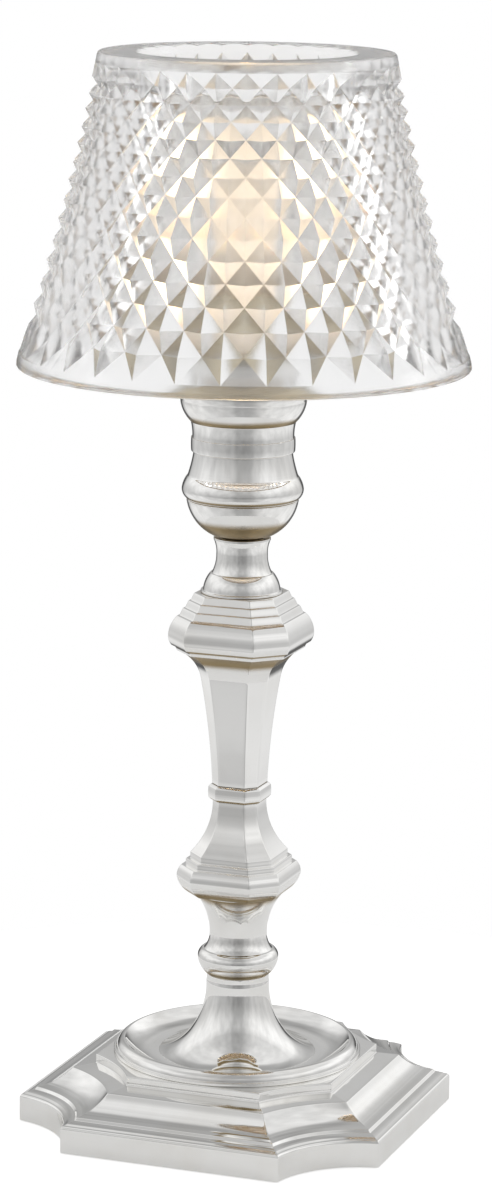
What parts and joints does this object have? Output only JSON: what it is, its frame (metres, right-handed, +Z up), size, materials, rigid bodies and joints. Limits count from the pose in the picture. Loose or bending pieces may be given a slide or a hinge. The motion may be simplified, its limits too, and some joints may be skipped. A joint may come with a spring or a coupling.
{
  "type": "candle lamp with shade",
  "caption": "Silver table candle lamp: octagonal baluster stick on a notched square foot, frosted chimney over a tealight, and a diamond-cut crystal shade that lifts off.",
  "frame": {"origin": "centre of the foot's underside, on the surface that the lamp stands on", "axes": "+Z up along the stem; X and Y square to the straight sides of the foot"},
  "size_m": [0.1546, 0.1546, 0.3703],
  "materials": {
    "silver": "polished silver plate",
    "steel": "zinc-plated",
    "iron": "as cast",
    "felt": "pressed felt",
    "brass": "turned",
    "crystal": "cut and polished",
    "frosted": "frosted",
    "silicone": "translucent",
    "foil": "thin pressed foil",
    "wax": "paraffin wax",
    "cotton": "charred wick"
  },
  "bodies": {
    "candlestick": {"base_foot": "silver", "base_weight": "iron", "base_cover": "steel", "cover_screws": "steel", "felt_pad": "felt", "well_dish": "silver", "stem_foot": "silver", "lower_baluster": "silver", "collar_ring": "silver", "upper_shaft": "silver", "shoulder_belt": "silver", "neck": "silver", "candle_socket": "silver", "socket_liner": "brass", "tie_rod": "steel", "rod_washer": "steel", "bottom_nut": "steel", "socket_nut": "steel"},
    "gallery": {"gallery_peg": "brass", "gallery_bowl": "brass", "gallery_screw": "brass", "gallery_pan": "brass"},
    "chimney": {"chimney_glass": "frosted"},
    "carrier": {"carrier_ring": "silver", "carrier_arm_1": "silver", "carrier_arm_2": "silver", "carrier_arm_3": "silver", "carrier_rivets": "brass", "carrier_pads": "silicone"},
    "shade": {"glass_shade": "crystal"},
    "tealight": {"tealight_cup": "foil", "tealight_wax": "wax", "wick_tab": "steel", "wick": "cotton"}
  },
  "joints": [
    {"name": "gallery_lift", "type": "slide", "parent": "candlestick", "child": "gallery", "axis": [0, 0, 1], "range_m": [0, 0.035]},
    {"name": "chimney_lift", "type": "slide", "parent": "gallery", "child": "chimney", "axis": [0, 0, 1], "range_m": [0, 0.09]},
    {"name": "carrier_lift", "type": "slide", "parent": "chimney", "child": "carrier", "axis": [0, 0, 1], "range_m": [0, 0.03]},
    {"name": "shade_lift", "type": "slide", "parent": "carrier", "child": "shade", "axis": [0, 0, 1], "range_m": [0, 0.12]},
    {"name": "tealight_lift", "type": "slide", "parent": "gallery", "child": "tealight", "axis": [0, 0, 1], "range_m": [0, 0.1]}
  ]
}
